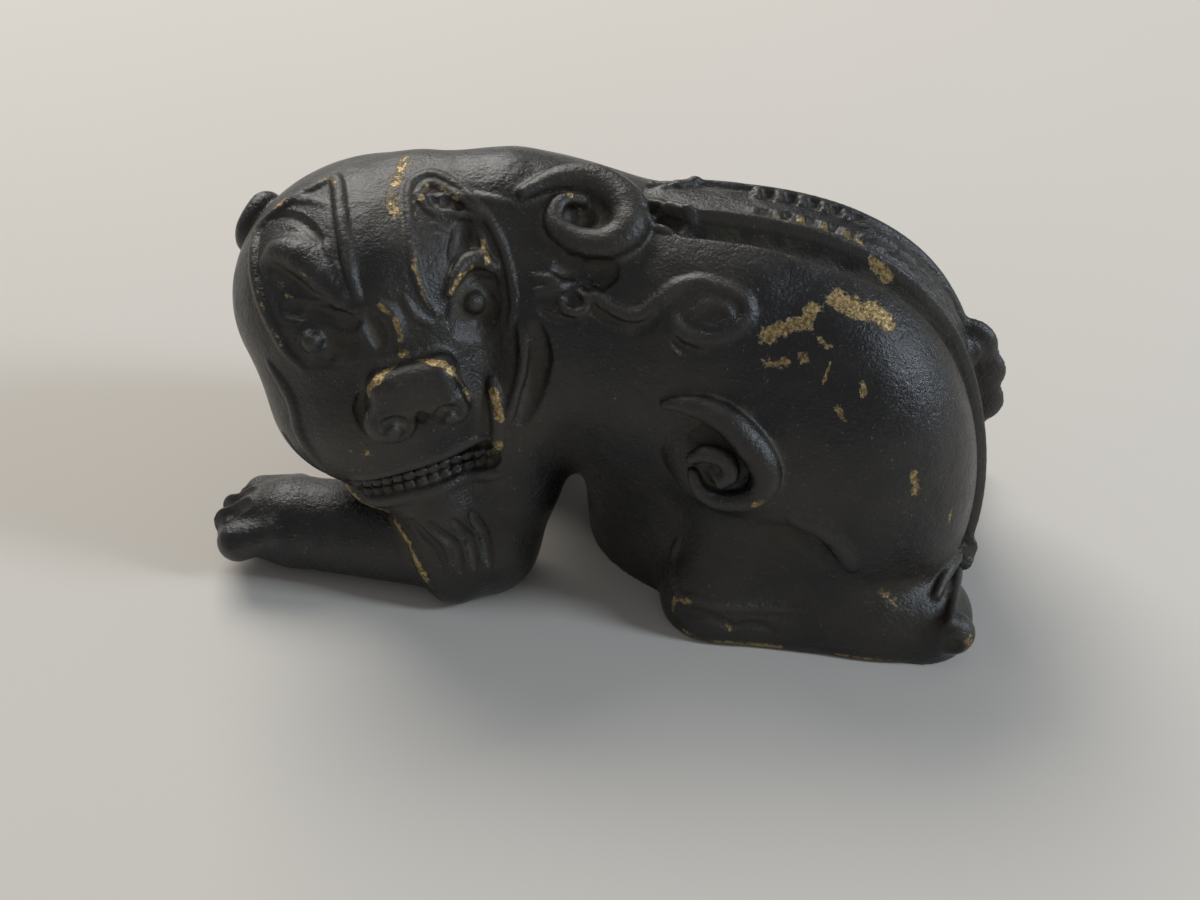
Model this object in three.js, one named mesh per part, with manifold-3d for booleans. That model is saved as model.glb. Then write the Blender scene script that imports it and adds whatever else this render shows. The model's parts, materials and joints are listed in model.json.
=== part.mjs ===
// A recumbent guardian lion, cast in brass as a desk weight. Millimetres, +Z up.
// The lion lies along X, chest to -X and rump to +X, and turns its face round to -Y.
// Left and right are the lion's own: its left flank faces -Y.
// Each piece is one that the maker shapes in wax and lutes to its neighbours before casting.
import * as THREE from "three";
import { ConvexGeometry } from "three/addons/geometries/ConvexGeometry.js";
import { mergeVertices } from "three/addons/utils/BufferGeometryUtils.js";
import Module from "manifold-3d";

const wasm = await Module();
wasm.setup();

// ---------- driving dimensions ----------
const GAP = 0.3; // clearance between neighbouring pieces
const FAR = 200; // half side of the boxes that stand for half spaces
const WAIST_X = 8.5; // where the ribcage ends and the rump begins
const SIDES = { left: -1, right: 1 }; // sign of Y on each flank
const DOME = { at: [15.7, 0, 6], radii: [18.6, 12.4, 29] }; // rear dome, from the ground to the loin
const BARREL = { at: [13.5, 0, 22.4], radii: [16.5, 12.2, 13.9] }; // barrel of the loin
const RIBS = { at: [3, 0, 22.6], radii: [17, 12, 14] };
const NECK = { at: [-9, 1.5, 25], radii: [14, 11.5, 13.6], turn: [0, -8, 0] };
const HEAD = { at: [-20.6, -3.2, 25.8], roll: -8, turn: 23 }; // centre; degrees about Y, then Z
const EYE_X = 6.6; // from the face's middle line to each eye, in the head's own frame
const FORELEG = { radius: 4.9, height: 4.4, wrist: 4.4, elbowX: -11 };
const HOCK = { x: 30.4, y: 10.9, z: 1.4, radius: 5 };
const TOES = { x: 11.5, y: 11.2, count: 4, radius: 1.9 };
const RIDGE = { width: 5, thick: 1.7, steps: 26 };
const TEETH = { count: 11, arc: 0.7, at: [-0.6, -4.2, -10.2], radii: [10.8, 9.9] };

// ---------- solids ----------
// A closed three.js geometry as a solid that can be joined and cut.
function solidOf(geometry) {
  const loose = geometry.index ? geometry.toNonIndexed() : geometry;
  const bare = new THREE.BufferGeometry();
  bare.setAttribute("position", loose.getAttribute("position"));
  const merged = mergeVertices(bare, 1e-4);
  return new wasm.Manifold(
    new wasm.Mesh({
      numProp: 3,
      vertProperties: merged.attributes.position.array,
      triVerts: new Uint32Array(merged.index.array),
    }),
  );
}

function geometryOf(solid) {
  const mesh = solid.getMesh();
  const geometry = new THREE.BufferGeometry();
  geometry.setAttribute("position", new THREE.BufferAttribute(mesh.vertProperties, 3));
  geometry.setIndex(new THREE.BufferAttribute(mesh.triVerts, 1));
  return geometry;
}

// The rotation that turns about X, then Y, then Z, in degrees.
const turned = (degrees) =>
  new THREE.Matrix4().makeRotationFromEuler(
    new THREE.Euler(...degrees.map(THREE.MathUtils.degToRad), "ZYX"),
  );

const placed = (solid, matrix) => solidOf(geometryOf(solid).applyMatrix4(matrix));
const join = (solids) => solids.reduce((whole, next) => whole.add(next));

// An ellipsoid with its poles on Z.
function blob({ at, radii, turn = [0, 0, 0] }, grow = 0, rounds = 18) {
  const geometry = new THREE.SphereGeometry(1, rounds, Math.round(rounds * 0.6));
  geometry.rotateX(Math.PI / 2);
  geometry.scale(...radii.map((r) => r + grow));
  geometry.applyMatrix4(turned(turn));
  geometry.translate(...at);
  return solidOf(geometry);
}

// The convex skin round balls, each [x, y, z, radius].
function skin(balls, grow = 0, detail = 2) {
  const points = [];
  for (const [x, y, z, r] of balls) {
    const ball = new THREE.IcosahedronGeometry(r + grow, detail).getAttribute("position");
    for (let i = 0; i < ball.count; i++) {
      points.push(new THREE.Vector3(ball.getX(i) + x, ball.getY(i) + y, ball.getZ(i) + z));
    }
  }
  return solidOf(new ConvexGeometry(points));
}

// A limb: a skin round each ball and the next.
const limb = (balls, grow = 0, detail = 2) =>
  join(balls.slice(1).map((ball, i) => skin([balls[i], ball], grow, detail)));

function box(low, high) {
  const size = low.map((v, i) => high[i] - v);
  const geometry = new THREE.BoxGeometry(...size);
  geometry.translate(...low.map((v, i) => v + size[i] / 2));
  return solidOf(geometry);
}

// A rod with an oval section of 2 * halfSides sides, swept along a smooth curve through the points.
function rod(points, width, thick, steps = 24, halfSides = 3) {
  const path = new THREE.CatmullRomCurve3(points.map((p) => new THREE.Vector3(...p)));
  const section = new THREE.Shape();
  section.absellipse(0, 0, width / 2, thick / 2, 0, 2 * Math.PI);
  const options = { extrudePath: path, steps, curveSegments: halfSides, bevelEnabled: false };
  return solidOf(new THREE.ExtrudeGeometry(section, options));
}

const aboveGround = box([-FAR, -FAR, 0], [FAR, FAR, FAR]);
const frontOf = (x) => box([-FAR, -FAR, -FAR], [x, FAR, FAR]);
const behind = (x) => box([x, -FAR, -FAR], [FAR, FAR, FAR]);

// What is left of a solid above the ground once its neighbours are cut from it: its largest body.
function fitted(solid, neighbours = []) {
  const left = neighbours.reduce((rest, next) => rest.subtract(next), solid.intersect(aboveGround));
  return left.decompose().sort((a, b) => b.volume() - a.volume())[0];
}

// ---------- body and legs ----------
const ribcage = (grow = 0) =>
  join([blob(RIBS, grow, 20), blob(NECK, grow, 20)]).intersect(frontOf(WAIST_X - GAP / 2 + grow));

const rump = (grow = 0) =>
  join([blob(DOME, grow, 24), blob(BARREL, grow, 20)]).intersect(behind(WAIST_X + GAP / 2 - grow));

const upperArm = (side, grow = 0) =>
  limb([[-8.2, 7.8 * side, 20, 5.4], [-9.2, 9 * side, 11, 5.4], [-11, 9.8 * side, 5, 5]], grow);

const thigh = (side, grow = 0) =>
  join([
    blob({ at: [22.5, 5.6 * side, 14.5], radii: [11.3, 9.4, 18.2], turn: [0, -8, 0] }, grow, 20),
    blob({ at: [14, 8.4 * side, 17], radii: [7.2, 6.2, 8.5] }, grow),
  ]);

// A row of toes across the front of a foot, the outer ones set back by the row's curve.
const toeRow = (x, y, z, pitch, curve, grow = 0) =>
  Array.from({ length: TOES.count }, (_, i) => {
    const off = (i - (TOES.count - 1) / 2) * pitch;
    return skin([[x + TOES.radius + curve * off ** 2, y + off, z, TOES.radius]], grow, 1);
  });

const hindFoot = (side, grow = 0) => {
  const shin = [14, 8.5 * side, 10, 5.2];
  const hock = [HOCK.x, HOCK.y * side, HOCK.z, HOCK.radius];
  const toes = [TOES.x, TOES.y * side, HOCK.z, HOCK.radius];
  return join([
    skin([hock, toes], grow),
    skin([shin, [12, 10.4 * side, 3, 5.4]], grow),
    skin([shin, [26, 10 * side, 3, 5.4]], grow),
    ...toeRow(TOES.x - 4.9, (TOES.y - 0.4) * side, 1.6, 2.1, 0.04, grow),
  ]);
};

// A foreleg lies on the ground along X: its paw's tip, and its middle line's Y.
const foreleg = ({ tipX, y }, grow = 0) => {
  const { radius, height, wrist, elbowX } = FORELEG;
  const wristBall = [tipX + 8.2, y, height, wrist];
  return join([
    skin([[elbowX, y, height + 0.2, radius + 0.2], wristBall], grow),
    skin([wristBall, [tipX + 5.2, y, height, 4.8]], grow),
    ...toeRow(tipX - 0.3, y, 4.4, 2.2, 0.15, grow),
  ]);
};
const leftForeleg = (grow) => foreleg({ tipX: -37.6, y: -11.2 }, grow);
const rightForeleg = (grow) => foreleg({ tipX: -32.5, y: 8 }, grow);

// ---------- the head, in its own frame: face to -Y, crown to +Z ----------
const headPlace = turned([0, HEAD.roll, HEAD.turn]).setPosition(...HEAD.at);
const inHead = (solid) => placed(solid, headPlace);

const skull = (grow = 0) =>
  inHead(
    join([
      blob({ at: [0, 0.5, 1.5], radii: [14, 12.8, 11.8], turn: [14, 0, 0] }, grow, 20),
      blob({ at: [-1, -4.2, -5.6], radii: [12, 10.6, 9.8] }, grow, 20),
    ]),
  );

const jaw = (grow = 0) => inHead(blob({ at: [-0.4, -8, -12.6], radii: [8, 6, 3.8] }, grow));

const beard = (grow = 0) => limb([[-14.2, -12.4, 10.5, 4.4], [-13.2, -14.6, 2.4, 2.3]], grow);

const nose = (grow = 0) =>
  inHead(
    join([
      blob({ at: [0.4, -12.8, -0.2], radii: [4.8, 2.8, 3.2] }, grow, 16),
      ...[-1, 1].map((s) => blob({ at: [2.6 * s, -13.8, -2.2], radii: [2.3, 1.8, 2.2] }, grow, 14)),
    ]),
  );

const brow = (s, grow = 0) =>
  inHead(
    blob({ at: [EYE_X * s, -9.4, 6.8], radii: [3.8, 2.6, 1.5], turn: [0, 14 * s, 0] }, grow, 16),
  );

const eye = (s, grow = 0) =>
  inHead(blob({ at: [EYE_X * s, -9.6, 4], radii: [2.4, 2, 2.1] }, grow, 14));

// A row of teeth that touch, on an arc round the muzzle.
const teeth = (grow = 0) => {
  const { count, arc, at, radii } = TEETH;
  const tooth = (_, i) => {
    const angle = arc * ((2 * i) / (count - 1) - 1);
    const x = at[0] + radii[0] * Math.sin(angle);
    const y = at[1] - radii[1] * Math.cos(angle);
    return blob({ at: [x, y, at[2]], radii: [0.95, 0.9, 0.95] }, grow, 6);
  };
  return inHead(join(Array.from({ length: count }, tooth)));
};

// ---------- curls and locks ----------
// A spiral lock on a low boss, lying in the XY plane and facing +Z.
function curl(radius, tube, turns, boss) {
  const perTurn = 9;
  const beads = Array.from({ length: perTurn * turns + 1 }, (_, i) => {
    const angle = (i / perTurn) * 2 * Math.PI;
    const r = radius - tube / 2 - ((radius - tube - boss) * i) / (perTurn * turns);
    return [r * Math.cos(angle), r * Math.sin(angle), 0, tube / 2];
  });
  return join([
    blob({ at: [0, 0, -tube * 0.35], radii: [radius * 0.96, radius * 0.96, tube * 0.62] }, 0, 16),
    limb(beads, 0, 1),
    blob({ at: [0, 0, 0], radii: [boss, boss, boss] }, 0, 10),
  ]);
}

// Stands a solid made at the origin on a point, with its +Z along the outward direction.
function stand(solid, at, outward, spin = 0) {
  const turn = new THREE.Quaternion().setFromUnitVectors(
    new THREE.Vector3(0, 0, 1),
    new THREE.Vector3(...outward).normalize(),
  );
  const matrix = new THREE.Matrix4().makeRotationFromQuaternion(turn).setPosition(...at);
  return placed(solid, matrix.multiply(turned([0, 0, spin])));
}

const mirrored = (solid) => {
  const geometry = geometryOf(solid).scale(1, -1, 1);
  const order = geometry.getIndex().array;
  for (let i = 0; i < order.length; i += 3) [order[i], order[i + 1]] = [order[i + 1], order[i]];
  return solidOf(geometry);
};
const onFlank = (side, leftSolid) => (side < 0 ? leftSolid : mirrored(leftSolid));

const kneeCurl = stand(curl(5.2, 2, 1.5, 1.5), [11.6, -13.4, 20.2], [-0.1, -0.86, 0.5], 205);

const hockTuft = (side) =>
  onFlank(side, stand(curl(2.6, 1.3, 1, 0.9), [33.2, -13.4, 3.9], [0.5, -0.8, 0.35], 30));

const SCROLL = [
  [-0.8, -9.1, 31.6],
  [3.3, -10.1, 30.2],
  [6.6, -9, 31.9],
  [10.4, -8, 33],
  [13, -8.9, 31.4],
  [11.2, -10.1, 29.3],
  [8.4, -10.4, 28.9],
];
const shoulderScroll = (side, grow = 0) =>
  onFlank(side, rod(SCROLL, 1.3 + 2 * grow, 1.3 + 2 * grow, 22));

const cheekLock = (side) => {
  const lock = blob({ at: [0, 0, 0], radii: [3, 1.9, 1.2] }, 0, 14);
  return onFlank(side, stand(lock, [-2.9, -8.9, 31.8], [-0.15, -0.8, 0.6], -8));
};

const maneTip = (side) =>
  onFlank(side, skin([[3, -2, 36.4, 1], [4.4, -3.4, 36, 1.1], [7.4, -3.1, 36.1, 0.5]], 0, 1));

const leftEar = join([
  stand(curl(4.3, 1.9, 1.25, 1.3), [-1.8, -3.2, 36.7], [0, -0.42, 0.9], 100),
  limb([[-12.5, -2.4, 37.4, 1.6], [-6, -1.2, 37.9, 2.2]], 0, 1),
]);
const rightEar = stand(curl(3.8, 1.9, 1.25, 1.2), [-34.2, 1.2, 31.1], [-0.8, 0.15, 0.5], 20);

// The band along the spine, from behind the ears down to the hock on the left.
const SPINE = [
  [3.6, 0, 37],
  [8, 0, 36.9],
  [12.5, 0, 36.7],
  [17.8, 0, 36.4],
  [23.2, 0, 34.4],
  [28.5, 0, 29.5],
  [32.3, -0.4, 21.8],
  [34, -1.4, 14.5],
  [34.3, -3.2, 7.5],
  [33, -5.4, 2.4],
];
const ridge = (grow = 0) =>
  rod(SPINE, RIDGE.width + 2 * grow, RIDGE.thick + 2 * grow, RIDGE.steps, 4);

const tailTuft = join(
  [
    [31.6, 3.6, 23, 2.3],
    [33, 4.2, 20.2, 2.5],
    [33.8, 3.8, 17.2, 2.2],
  ].map(([x, y, z, r]) => blob({ at: [x, y, z], radii: [r, r, r] }, 0, 12)),
);

// ---------- assembly ----------
const metal = (color, roughness) =>
  new THREE.MeshStandardMaterial({ color, roughness, metalness: 0.85 });
const patina = metal(0x2a2a28, 0.42); // dark lacquer-like patina
const rubbed = metal(0x4a4234, 0.36); // proud details, where brass shows through
const deep = metal(0x1a1916, 0.6); // recesses that keep their dirt

const statue = new THREE.Group();
function piece(name, solid, material = patina) {
  const mesh = new THREE.Mesh(geometryOf(solid), material);
  mesh.name = name;
  statue.add(mesh);
}

const headParts = [skull(GAP), jaw(GAP), beard(GAP), teeth(GAP)];
const eyes = [eye(-1, GAP), eye(1, GAP)];
const trunk = [ribcage(GAP), rump(GAP)];
const besideKnee = [...trunk, thigh(-1, GAP), hindFoot(-1, GAP)];

piece("ribcage", fitted(ribcage(), [...headParts, ...eyes, brow(1, GAP)]));
piece("rump", fitted(rump()));
for (const [name, side] of Object.entries(SIDES)) {
  const haunch = [...trunk, thigh(side, GAP), hindFoot(side, GAP)];
  piece(name + "_upper_arm", fitted(upperArm(side), [ribcage(GAP), ...headParts]));
  piece(name + "_thigh", fitted(thigh(side), trunk));
  piece(name + "_hind_foot", fitted(hindFoot(side), [...trunk, thigh(side, GAP)]));
  piece(name + "_knee_curl", onFlank(side, fitted(kneeCurl, besideKnee)), rubbed);
  piece(name + "_hock_tuft", fitted(hockTuft(side), haunch), rubbed);
  piece(name + "_shoulder_scroll", fitted(shoulderScroll(side), trunk), rubbed);
  piece(name + "_mane_tip", fitted(maneTip(side), [...trunk, ridge(GAP)]), rubbed);
  const besideLock = [...trunk, skull(GAP), shoulderScroll(side, GAP)];
  piece(name + "_cheek_lock", fitted(cheekLock(side), besideLock), rubbed);
}
piece("left_foreleg", fitted(leftForeleg(), [upperArm(-1, GAP), ...headParts]));
piece("right_foreleg", fitted(rightForeleg(), [upperArm(1, GAP), ...headParts, ribcage(GAP)]));

piece("head", fitted(skull(), [teeth(GAP), nose(GAP), ...eyes]));
piece("lower_jaw", fitted(jaw(), [skull(GAP), teeth(GAP)]));
piece("beard", fitted(beard(), [skull(GAP), jaw(GAP)]));
piece("teeth", teeth(), deep);
piece("nose", nose(), rubbed);
for (const [name, side] of Object.entries(SIDES)) {
  piece(name + "_eye", eye(-side), deep);
  piece(name + "_brow", fitted(brow(-side), [skull(GAP), ...eyes]), rubbed);
}
piece("left_ear", fitted(leftEar, [...trunk, skull(GAP)]), rubbed);
piece("right_ear", fitted(rightEar, [ribcage(GAP), skull(GAP)]), rubbed);
piece("spine_ridge", fitted(ridge(), [...trunk, thigh(-1, GAP), hindFoot(-1, GAP)]), rubbed);
piece("tail_tuft", fitted(tailTuft, [...trunk, thigh(1, GAP), ridge(GAP)]), rubbed);

// The row's origin is the middle of the footprint, on the ground.
const bounds = new THREE.Box3().setFromObject(statue);
const centre = bounds.getCenter(new THREE.Vector3());
statue.position.set(-centre.x, -centre.y, -bounds.min.z);

export default statue;
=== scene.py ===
"""A small cast brass guardian lion with a dark patina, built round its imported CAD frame.

The lion is sculpted as one distance field in millimetres, so that neighbouring pieces meet without a
step, and the field is then cut into one closed mesh for each CAD node. Lengths below are in
millimetres in the sculpt's own frame: its origin is on the ground under the belly, +X runs from the
chest to the rump, and the face looks to -Y.
"""
import json
import math

import bpy
import numpy as np
import openvdb
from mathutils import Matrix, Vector


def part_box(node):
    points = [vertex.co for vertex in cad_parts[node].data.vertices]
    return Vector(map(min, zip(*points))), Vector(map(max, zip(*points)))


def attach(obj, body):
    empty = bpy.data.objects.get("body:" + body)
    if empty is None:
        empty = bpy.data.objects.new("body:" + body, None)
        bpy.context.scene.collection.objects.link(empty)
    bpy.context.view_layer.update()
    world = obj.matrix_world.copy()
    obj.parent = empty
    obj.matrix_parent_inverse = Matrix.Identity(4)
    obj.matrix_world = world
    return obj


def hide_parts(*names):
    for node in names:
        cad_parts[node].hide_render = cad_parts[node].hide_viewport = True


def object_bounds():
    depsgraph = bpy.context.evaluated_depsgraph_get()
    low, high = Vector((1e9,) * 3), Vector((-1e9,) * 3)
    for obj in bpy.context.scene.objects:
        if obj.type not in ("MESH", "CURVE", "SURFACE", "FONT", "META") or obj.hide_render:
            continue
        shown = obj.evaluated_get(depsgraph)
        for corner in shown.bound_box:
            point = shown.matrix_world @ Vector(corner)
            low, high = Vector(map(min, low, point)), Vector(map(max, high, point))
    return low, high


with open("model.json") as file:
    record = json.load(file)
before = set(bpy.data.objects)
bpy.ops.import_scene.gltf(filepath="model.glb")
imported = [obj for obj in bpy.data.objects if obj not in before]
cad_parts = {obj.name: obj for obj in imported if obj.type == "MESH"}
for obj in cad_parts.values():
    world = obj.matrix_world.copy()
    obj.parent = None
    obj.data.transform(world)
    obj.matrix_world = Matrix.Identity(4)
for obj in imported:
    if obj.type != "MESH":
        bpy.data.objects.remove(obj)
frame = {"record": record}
cad_low, cad_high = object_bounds()

# ---------- driving dimensions ----------
MM = 0.001
VOXEL = 0.2
MARGIN = 1.2  # space kept round the CAD box in the field
BAND = 2.4  # reliefs reach this far from the surface
FAR = 9.0  # the distance where nothing has been measured
INLAY_SPREAD = 0.3  # how much wider than its ridge an inlaid piece is
SMOOTHING = 1.2  # width of the blur that tells hollows from edges
SKIN_NEAR = 0.06  # points closer to the skin than this are shaded by the field
GROUND_NEAR = 0.2  # below this height the sole keeps its own flat shading
OVERLAP = 0.9  # how far a piece runs on under its neighbour
SINK = 0.09  # how steeply it dives there
SIDES = {"left": -1, "right": 1}
WAIST_X = 8.5
WAIST_SLOPE = 0.5  # below 1, so that no leg piece claims the belly near the waist
HALF_GAP = 0.15  # half the clearance between rump and ribcage in the CAD
HEAD_AT, HEAD_ROLL, HEAD_TURN = (-20.6, -3.2, 25.8), -8, 23
EYE = (7.0, 3.8)
TOOTH_PAIRS = 13
CAMERA_ELEVATION, CAMERA_AZIMUTH, CAMERA_DISTANCE = 38, 10, 130
CAMERA_TARGET = (0, -9.5, 16)
LENS, SENSOR = 42.9, 36
PAPER_SIZE, PAPER_ROWS = 1.2, 24
SPINE = [
    (2.2, 0, 37.2), (8, 0, 36.9), (12.5, 0, 36.7), (17.8, 0, 36.4), (23.2, 0, 34.4), (28.5, 0, 29.5),
    (32.3, -0.4, 21.8), (34, -1.4, 14.5), (34.3, -3.2, 7.5), (33, -5.4, 2.4),
]

rump_low, rump_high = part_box("rump")
SHIFT = np.array([
    rump_low.x / MM - WAIST_X - HALF_GAP,
    (rump_low.y + rump_high.y) / 2 / MM,
    0.0,
])
LOW = np.array(cad_low) / MM - SHIFT - MARGIN
HIGH = np.array(cad_high) / MM - SHIFT + MARGIN
COUNT = np.ceil((HIGH - LOW) / VOXEL).astype(int) + 1
AXES = [(LOW[k] + VOXEL * np.arange(COUNT[k])).astype(np.float32) for k in range(3)]


# ---------- distance fields ----------
def turned(degrees):
    """The rotation about X, then Y, then Z."""
    a, b, c = np.radians(degrees)
    about_x = np.array([[1, 0, 0], [0, np.cos(a), -np.sin(a)], [0, np.sin(a), np.cos(a)]])
    about_y = np.array([[np.cos(b), 0, np.sin(b)], [0, 1, 0], [-np.sin(b), 0, np.cos(b)]])
    about_z = np.array([[np.cos(c), -np.sin(c), 0], [np.sin(c), np.cos(c), 0], [0, 0, 1]])
    return about_z @ about_y @ about_x


HEAD_TURNED = turned((0, HEAD_ROLL, HEAD_TURN))


def from_head(points):
    """Points in the head's own frame (face to -Y, crown to +Z), in the sculpt's frame."""
    return np.asarray(points, float) @ HEAD_TURNED.T + HEAD_AT


def window(low, high):
    """The slices of the field that hold a box."""
    first = np.clip(np.floor((np.asarray(low) - LOW) / VOXEL).astype(int), 0, COUNT - 2)
    last = np.clip(np.ceil((np.asarray(high) - LOW) / VOXEL).astype(int) + 1, first + 2, COUNT)
    return tuple(slice(a, b) for a, b in zip(first, last))


def places(where):
    return np.meshgrid(*[AXES[k][where[k]] for k in range(3)], indexing="ij", sparse=True)


def egg(at, radii, turn=(0, 0, 0), in_head=False):
    """An ellipsoid, as (low corner, high corner, distance)."""
    rotation = turned(turn)
    if in_head:
        rotation, at = HEAD_TURNED @ rotation, from_head(at)
    at, radii = np.asarray(at, float), np.asarray(radii, float)
    reach = np.abs(rotation) @ radii

    def distance(x, y, z):
        dx, dy, dz = x - at[0], y - at[1], z - at[2]
        near, steep = 0, 0
        for k in range(3):
            along = dx * rotation[0, k] + dy * rotation[1, k] + dz * rotation[2, k]
            near = near + (along / radii[k]) ** 2
            steep = steep + (along / radii[k] ** 2) ** 2
        near = np.sqrt(near)
        return near * (near - 1) / np.maximum(np.sqrt(steep), 1e-4)

    return at - reach, at + reach, distance


def tube(points, radii):
    """Round cones along a line of points."""
    points = np.asarray(points, float)
    radii = np.broadcast_to(np.asarray(radii, float), len(points))
    low, high = points.min(0) - radii.max(), points.max(0) + radii.max()

    def distance(x, y, z):
        best = None
        for a, b, ra, rb in zip(points[:-1], points[1:], radii[:-1], radii[1:]):
            span = b - a
            size = max(float(span @ span), 1e-9)
            t = ((x - a[0]) * span[0] + (y - a[1]) * span[1] + (z - a[2]) * span[2]) / size
            t = np.clip(t, 0, 1)
            gap = np.sqrt(
                (x - a[0] - t * span[0]) ** 2
                + (y - a[1] - t * span[1]) ** 2
                + (z - a[2] - t * span[2]) ** 2
            )
            gap = gap - (ra + (rb - ra) * t)
            best = gap if best is None else np.minimum(best, gap)
        return best

    return low, high, distance


def slab(at, half, round_off, turn=(0, 0, 0), in_head=True):
    """A box with rounded edges."""
    rotation = turned(turn)
    if in_head:
        rotation, at = HEAD_TURNED @ rotation, from_head(at)
    at, half = np.asarray(at, float), np.asarray(half, float) - round_off
    reach = np.abs(rotation) @ (half + round_off)

    def distance(x, y, z):
        dx, dy, dz = x - at[0], y - at[1], z - at[2]
        outside, deepest = 0, None
        for k in range(3):
            along = dx * rotation[0, k] + dy * rotation[1, k] + dz * rotation[2, k]
            past = np.abs(along) - half[k]
            outside = outside + np.maximum(past, 0) ** 2
            deepest = past if deepest is None else np.maximum(deepest, past)
        return np.sqrt(outside) + np.minimum(deepest, 0) - round_off

    return at - reach, at + reach, distance


def smooth_min(a, b, k):
    h = np.clip(k - np.abs(a - b), 0, None) / k
    return np.minimum(a, b) - h * h * k / 4


def smooth_line(points, steps=8):
    """A Catmull-Rom line through the points."""
    p = np.asarray(points, float)
    p = np.vstack([2 * p[0] - p[1], p, 2 * p[-1] - p[-2]])
    t = np.linspace(0, 1, steps, endpoint=False)[:, None]
    parts = []
    for a, b, c, d in zip(p[:-3], p[1:-2], p[2:-1], p[3:]):
        curve = 2 * b + (c - a) * t + (2 * a - 5 * b + 4 * c - d) * t**2
        parts.append((curve + (3 * b - a - 3 * c + d) * t**3) / 2)
    return np.vstack([*parts, p[-2:-1]])


# ---------- the field ----------
field = np.full(COUNT, FAR, np.float32)  # distance to the whole lion's skin
nearest = np.full(COUNT, FAR, np.float32)  # distance to the nearest piece
second = np.full(COUNT, FAR, np.float32)  # distance to the next one
owner = np.full(COUNT, -1, np.int8)
pieces = {}  # name: list of (window, distance within the window)


def own(name, where, distance):
    """Gives a piece the space where it lies nearer than every other."""
    pieces.setdefault(name, []).append((where, distance.astype(np.float32)))
    number = list(pieces).index(name)
    mine = owner[where] == number
    closer = (distance < nearest[where]) & ~mine
    second[where] = np.where(
        closer, nearest[where], np.where(mine, second[where], np.minimum(second[where], distance))
    )
    owner[where] = np.where(closer, number, owner[where])
    nearest[where] = np.minimum(nearest[where], distance)


def mass(name, shapes, blend, inner=1.5, keep=None):
    """Adds a piece made of shapes that melt into each other by inner and into the rest by blend."""
    reach = 2.5 + blend
    where = window(
        np.min([s[0] for s in shapes], 0) - reach, np.max([s[1] for s in shapes], 0) + reach
    )
    x, y, z = places(where)
    distance = None
    for _, _, shape in shapes:
        found = shape(x, y, z)
        distance = found if distance is None else smooth_min(distance, found, inner)
    field[where] = smooth_min(field[where], distance, blend)
    own(name, where, distance if keep is None else np.maximum(distance, keep(x, y, z)))


def sample(grid, points):
    """Trilinear values of a grid at points."""
    at = np.clip((points - LOW) / VOXEL, 0, COUNT - 1.001)
    cell = np.floor(at).astype(int)
    f = at - cell
    total = 0
    for corner in np.ndindex(2, 2, 2):
        weight = np.prod(np.where(corner, f, 1 - f), axis=1)
        total = total + weight * grid[tuple((cell + corner).T)]
    return total


def slope_of(grid, points, step=None):
    step = step or VOXEL
    return np.stack(
        [
            (sample(grid, points + offset) - sample(grid, points - offset)) / (2 * step)
            for offset in np.eye(3) * step
        ],
        axis=1,
    )


def on_skin(points, rounds=6):
    """Moves points onto the lion's skin, each along the field's slope."""
    points = np.array(points, float)
    for _ in range(rounds):
        slope = slope_of(field, points, 0.4)
        length = np.maximum((slope**2).sum(1, keepdims=True), 0.1)
        points = points - sample(field, points)[:, None] * slope / length
    return points


def cast(starts, direction, reach=40.0):
    """Where rays from the starts first meet the lion's skin, or pass closest to it."""
    steps = np.arange(0, reach, 0.2)
    starts = np.asarray(starts, float)
    path = starts[:, None] + steps[None, :, None] * np.asarray(direction, float)
    values = sample(field, path.reshape(-1, 3)).reshape(len(starts), -1)
    inside = values < 0
    first = np.where(inside.any(1), inside.argmax(1), values.argmin(1))
    return on_skin(path[np.arange(len(starts)), first], 5)


def on_face(points):
    """Points (x, z) of the head's front view, on the skin."""
    x, z = np.asarray(points, float).T
    front = from_head(np.stack([x, np.full_like(x, -20.0), z], axis=1))
    return cast(front, HEAD_TURNED @ (0, 1, 0), 25.0)


def on_flank(points, side):
    """Points (x, z) of a side view, on the skin."""
    x, z = np.asarray(points, float).T
    return cast(np.stack([x, np.full_like(x, 18.6 * side), z], axis=1), (0, -side, 0), 18.0)


def on_back(points):
    """Points (x, y) of the view from above, on the skin."""
    x, y = np.asarray(points, float).T
    return cast(np.stack([x, y, np.full_like(x, 41.0)], axis=1), (0, 0, -1))


def lifted(line, lift):
    """A line on the skin, moved outwards."""
    slope = slope_of(field, line, 0.4)
    return line + lift * slope / np.maximum(np.linalg.norm(slope, axis=1, keepdims=True), 1e-6)


def near_skin(low, high):
    """(window, mask, points) for the field's cells near the skin in a box."""
    where = window(np.asarray(low) - 1, np.asarray(high) + 1)
    mask = np.abs(field[where]) < BAND
    grid = np.stack(np.broadcast_arrays(*places(where)), axis=-1)[mask]
    return where, mask, grid


def to_line(points, line, chunk=60000):
    """Each point's distance to a line, and its place along it from 0 to 1."""
    a, span = line[:-1], np.diff(line, axis=0)
    lengths = np.maximum(np.linalg.norm(span, axis=1), 1e-6)
    start = np.concatenate([[0], np.cumsum(lengths)])
    gaps, alongs = [], []
    for part in np.array_split(points, max(1, len(points) // chunk)):
        away = part[:, None] - a
        t = np.clip((away * span).sum(2) / lengths**2, 0, 1)
        gap = np.linalg.norm(away - t[..., None] * span, axis=2)
        best = gap.argmin(1)
        row = np.arange(len(part))
        gaps.append(gap[row, best])
        alongs.append((start[best] + t[row, best] * lengths[best]) / start[-1])
    return np.concatenate(gaps), np.concatenate(alongs)


def inlay(name, where, mask, region, depth=1.0):
    """Gives a piece the skin inside a region, down to a depth."""
    distance = np.full(mask.shape, FAR, np.float32)
    distance[mask] = np.maximum(region, -field[where][mask] - depth)
    own(name, where, distance)


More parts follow.
